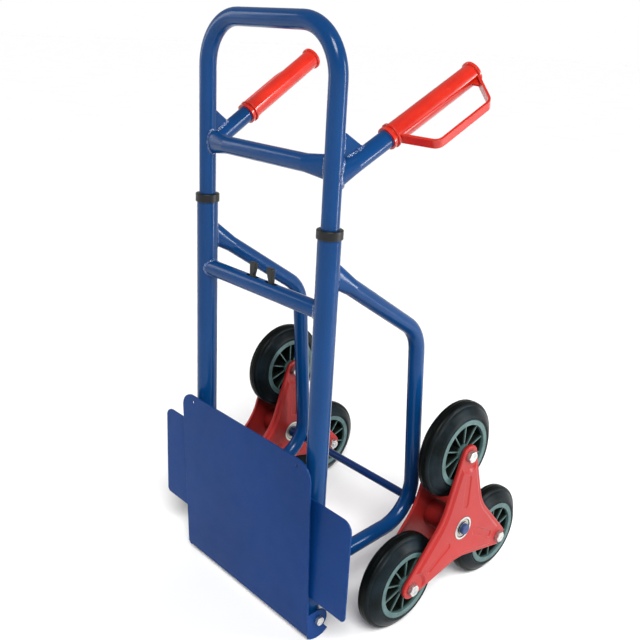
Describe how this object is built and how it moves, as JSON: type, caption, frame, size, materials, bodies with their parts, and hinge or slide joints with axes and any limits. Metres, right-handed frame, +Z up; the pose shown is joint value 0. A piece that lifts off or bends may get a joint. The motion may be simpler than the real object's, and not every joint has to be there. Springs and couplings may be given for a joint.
{
  "type": "stair climbing trolley",
  "caption": "Tubular hand trolley with a telescoping handle, folding toe plate and turning three-wheel star clusters for climbing stairs.",
  "frame": {"origin": "on the ground, under the middle of the object's box", "axes": "+Z up, the toe plate and the load on the -Y side, the wheels on the +Y side, and +X along the axle, to the right of someone who faces +Y"},
  "size_m": [0.494, 0.4558, 0.9042],
  "materials": {
    "blue_sheet": "gloss powder coat",
    "blue_tube": "gloss powder coat",
    "axle_paint": "gloss powder coat",
    "star_paint": "gloss powder coat",
    "bearing_steel": "ground and polished",
    "grip_plastic": "glossy moulded",
    "tyre_rubber": "satin moulded rubber",
    "rim_plastic": "satin moulded",
    "black_plastic": "satin moulded",
    "cap_plastic": "satin moulded",
    "zinc_steel": "zinc plated",
    "spring_steel": "oiled spring wire"
  },
  "bodies": {
    "frame": {"axle": "axle_paint", "axle_end_caps": "cap_plastic", "axle_spacers": "axle_paint", "back_plate": "blue_sheet", "hinge_bolts": "zinc_steel", "hinge_nuts": "zinc_steel", "hinge_spacers": "zinc_steel", "lock_spring": "spring_steel", "lower_crossbar": "blue_tube", "lower_tube_left": "blue_tube", "lower_tube_right": "blue_tube", "rear_tube_left": "blue_tube", "rear_tube_right": "blue_tube", "tube_collar_left": "black_plastic", "tube_collar_right": "black_plastic", "tube_feet": "black_plastic"},
    "handle": {"top_loop": "blue_tube", "upper_crossbar": "blue_tube", "leg_guides": "black_plastic", "side_handle_left": "blue_tube", "side_handle_right": "blue_tube", "gusset_left": "blue_tube", "gusset_right": "blue_tube", "grip_left": "grip_plastic", "grip_right": "grip_plastic"},
    "toe_plate": {"toe_plate": "blue_sheet"},
    "release_left": {"release_lever_left": "black_plastic", "lock_bolt_left": "zinc_steel"},
    "release_right": {"release_lever_right": "black_plastic", "lock_bolt_right": "zinc_steel"},
    "star_left": {"star_outer_plate_left": "star_paint", "star_inner_plate_left": "star_paint", "star_hub_tube_left": "star_paint", "star_bearings_left": "bearing_steel", "wheel_bolts_left": "zinc_steel", "wheel_nuts_left": "zinc_steel", "wheel_sleeves_left": "zinc_steel"},
    "wheel_left_top": {"tyre_left_top": "tyre_rubber", "wheel_rim_left_top": "rim_plastic"},
    "wheel_left_front": {"tyre_left_front": "tyre_rubber", "wheel_rim_left_front": "rim_plastic"},
    "wheel_left_rear": {"tyre_left_rear": "tyre_rubber", "wheel_rim_left_rear": "rim_plastic"},
    "star_right": {"star_outer_plate_right": "star_paint", "star_inner_plate_right": "star_paint", "star_hub_tube_right": "star_paint", "star_bearings_right": "bearing_steel", "wheel_bolts_right": "zinc_steel", "wheel_nuts_right": "zinc_steel", "wheel_sleeves_right": "zinc_steel"},
    "wheel_right_top": {"tyre_right_top": "tyre_rubber", "wheel_rim_right_top": "rim_plastic"},
    "wheel_right_front": {"tyre_right_front": "tyre_rubber", "wheel_rim_right_front": "rim_plastic"},
    "wheel_right_rear": {"tyre_right_rear": "tyre_rubber", "wheel_rim_right_rear": "rim_plastic"}
  },
  "joints": [
    {"name": "handle_slide", "type": "slide", "parent": "frame", "child": "handle", "axis": [0, 0, 1], "range_m": [0, 0.24]},
    {"name": "release_left", "type": "slide", "parent": "frame", "child": "release_left", "axis": [1, 0, 0], "range_m": [0, 0.0075], "stiffness_N_per_m": 800, "springref_m": -0.005},
    {"name": "release_right", "type": "slide", "parent": "frame", "child": "release_right", "axis": [-1, 0, 0], "range_m": [0, 0.0075], "stiffness_N_per_m": 800, "springref_m": -0.005},
    {"name": "toe_plate_fold", "type": "hinge", "parent": "frame", "child": "toe_plate", "pos_m": [0, -0.19434, 0.033], "axis": [1, 0, 0], "range_deg": [-2.5, 89.5]},
    {"name": "star_left", "type": "hinge", "parent": "frame", "child": "star_left", "pos_m": [-0.206, 0.03616, 0.1445], "axis": [1, 0, 0], "continuous": true},
    {"name": "wheel_left_top", "type": "hinge", "parent": "star_left", "child": "wheel_left_top", "pos_m": [-0.206, 0.03616, 0.2735], "axis": [1, 0, 0], "continuous": true},
    {"name": "wheel_left_front", "type": "hinge", "parent": "star_left", "child": "wheel_left_front", "pos_m": [-0.206, -0.07556, 0.08], "axis": [1, 0, 0], "continuous": true},
    {"name": "wheel_left_rear", "type": "hinge", "parent": "star_left", "child": "wheel_left_rear", "pos_m": [-0.206, 0.14787, 0.08], "axis": [1, 0, 0], "continuous": true},
    {"name": "star_right", "type": "hinge", "parent": "frame", "child": "star_right", "pos_m": [0.206, 0.03616, 0.1445], "axis": [1, 0, 0], "continuous": true},
    {"name": "wheel_right_top", "type": "hinge", "parent": "star_right", "child": "wheel_right_top", "pos_m": [0.206, 0.03616, 0.2735], "axis": [1, 0, 0], "continuous": true},
    {"name": "wheel_right_front", "type": "hinge", "parent": "star_right", "child": "wheel_right_front", "pos_m": [0.206, -0.07556, 0.08], "axis": [1, 0, 0], "continuous": true},
    {"name": "wheel_right_rear", "type": "hinge", "parent": "star_right", "child": "wheel_right_rear", "pos_m": [0.206, 0.14787, 0.08], "axis": [1, 0, 0], "continuous": true}
  ]
}
